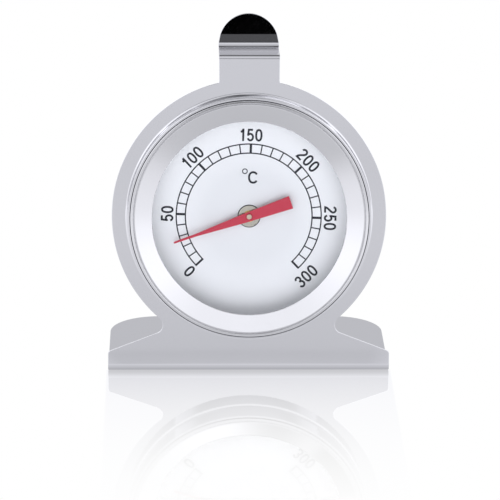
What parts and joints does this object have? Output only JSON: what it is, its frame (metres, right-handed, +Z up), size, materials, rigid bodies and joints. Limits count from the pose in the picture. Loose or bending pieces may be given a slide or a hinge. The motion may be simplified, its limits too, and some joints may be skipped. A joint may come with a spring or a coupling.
{
  "type": "oven thermometer",
  "caption": "Bimetal dial oven thermometer in a folded stainless stand with a flat foot and a rack hook; a red pointer sweeps a scale in degrees Celsius.",
  "frame": {"origin": "under the middle of the whole object, on the surface that the foot stands on", "axes": "+Z up along the dial's height, +Y from the dial to the rear of the foot, +X to the reader's right"},
  "size_m": [0.06, 0.041, 0.074],
  "materials": {
    "stand_steel": "satin, fine grain",
    "bezel_steel": "satin, turned",
    "glass": "clear float glass",
    "spacer_aluminium": "turned, matt",
    "dial_white": "white print lacquer on aluminium",
    "case_steel": "drawn, satin",
    "ring_steel": "stamped",
    "bush_metal": "nickelled brass",
    "washer_steel": "stamped",
    "washer_brass": "plain",
    "bridge_steel": "zinc-plated",
    "pivot_brass": "turned",
    "rivet_steel": "headed",
    "coil_bimetal": "rolled bimetal strip",
    "post_brass": "turned",
    "pointer_red": "red stoving paint",
    "hub_brass": "turned",
    "spindle_steel": "ground",
    "clip_steel": "spring steel",
    "arbor_brass": "turned"
  },
  "bodies": {
    "stand_and_case": {"stand_bracket": "stand_steel", "bezel_ring": "bezel_steel", "glass_lens": "glass", "glass_spacer_ring": "spacer_aluminium", "dial_plate": "dial_white", "case_cup": "case_steel", "case_retaining_ring": "ring_steel", "dial_bush": "bush_metal", "bush_lock_washer": "washer_steel", "thrust_washer": "washer_brass", "movement_bridge": "bridge_steel", "rear_pivot_bush": "pivot_brass", "bridge_rivets": "rivet_steel", "bimetal_coil": "coil_bimetal", "coil_anchor_post": "post_brass"},
    "pointer_assembly": {"pointer": "pointer_red", "pointer_hub": "hub_brass", "spindle": "spindle_steel", "spindle_clip": "clip_steel", "coil_arbor": "arbor_brass"}
  },
  "joints": [
    {"name": "pointer_sweep", "type": "hinge", "parent": "stand_and_case", "child": "pointer_assembly", "pos_m": [0, -0.0121, 0.03345], "axis": [0, 0.9907, -0.1357], "range_deg": [-24.1, 245.9], "stiffness_Nm_per_rad": 0.0003, "deforming": ["bimetal_coil"]}
  ]
}
